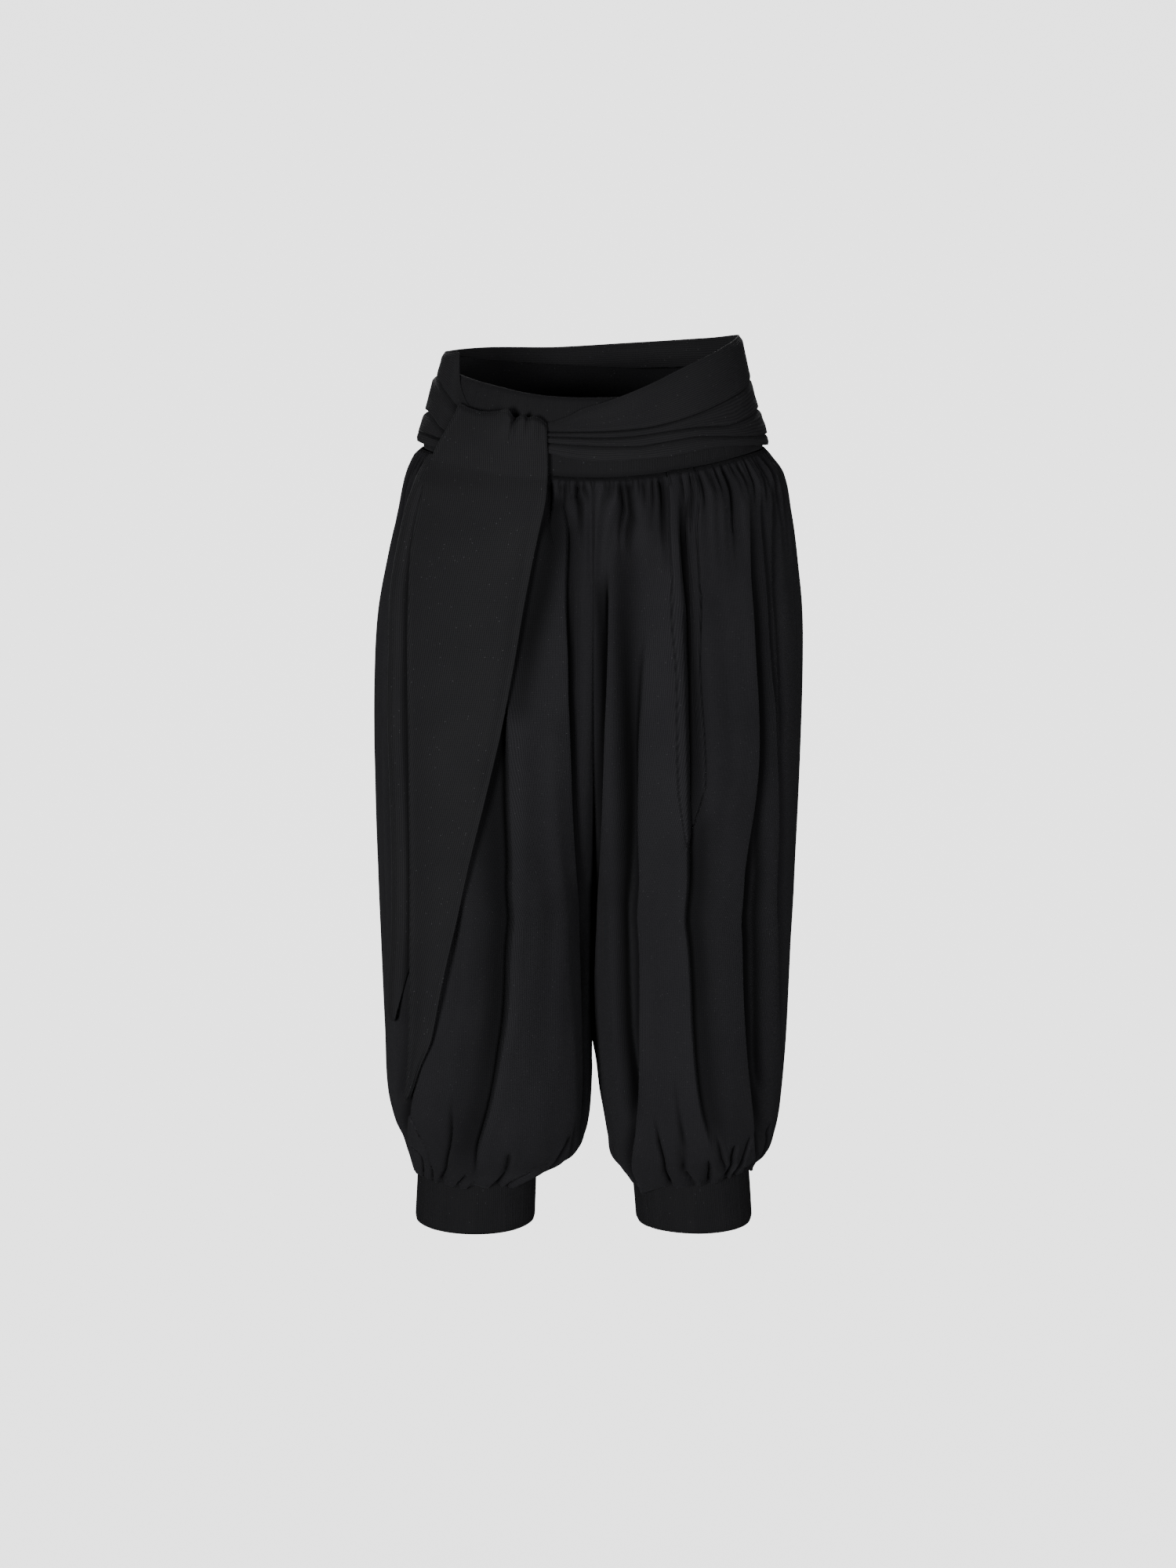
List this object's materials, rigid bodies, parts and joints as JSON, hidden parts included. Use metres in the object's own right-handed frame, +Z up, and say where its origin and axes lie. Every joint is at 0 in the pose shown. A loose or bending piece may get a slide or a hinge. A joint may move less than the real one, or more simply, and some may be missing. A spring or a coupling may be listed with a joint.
{
  "type": "harem pants",
  "caption": "Black jersey harem pants with a ribbed waistband, full gathered legs, ribbed calf cuffs and a wide sash knotted at the side front.",
  "frame": {"origin": "middle of the waist opening, at the middle height of the waistband's side", "axes": "+Z up, the front faces -Y, +X towards the wearer's left"},
  "size_m": [0.3805, 0.2776, 0.7999],
  "materials": {
    "jersey": "matte cotton jersey, fine knit",
    "rib": "matte fine one by one rib",
    "sash": "matte cotton jersey, fine knit, cut edges"
  },
  "bodies": {
    "root": {"waistband": "rib", "right_leg_front": "jersey", "right_leg_back": "jersey", "left_leg_front": "jersey", "left_leg_back": "jersey", "right_cuff": "rib", "left_cuff": "rib", "sash_back": "sash", "sash_left_wrap": "sash", "sash_right_wrap": "sash", "sash_knot": "sash", "tie_side": "sash", "tie_front": "sash"}
  },
  "joints": []
}
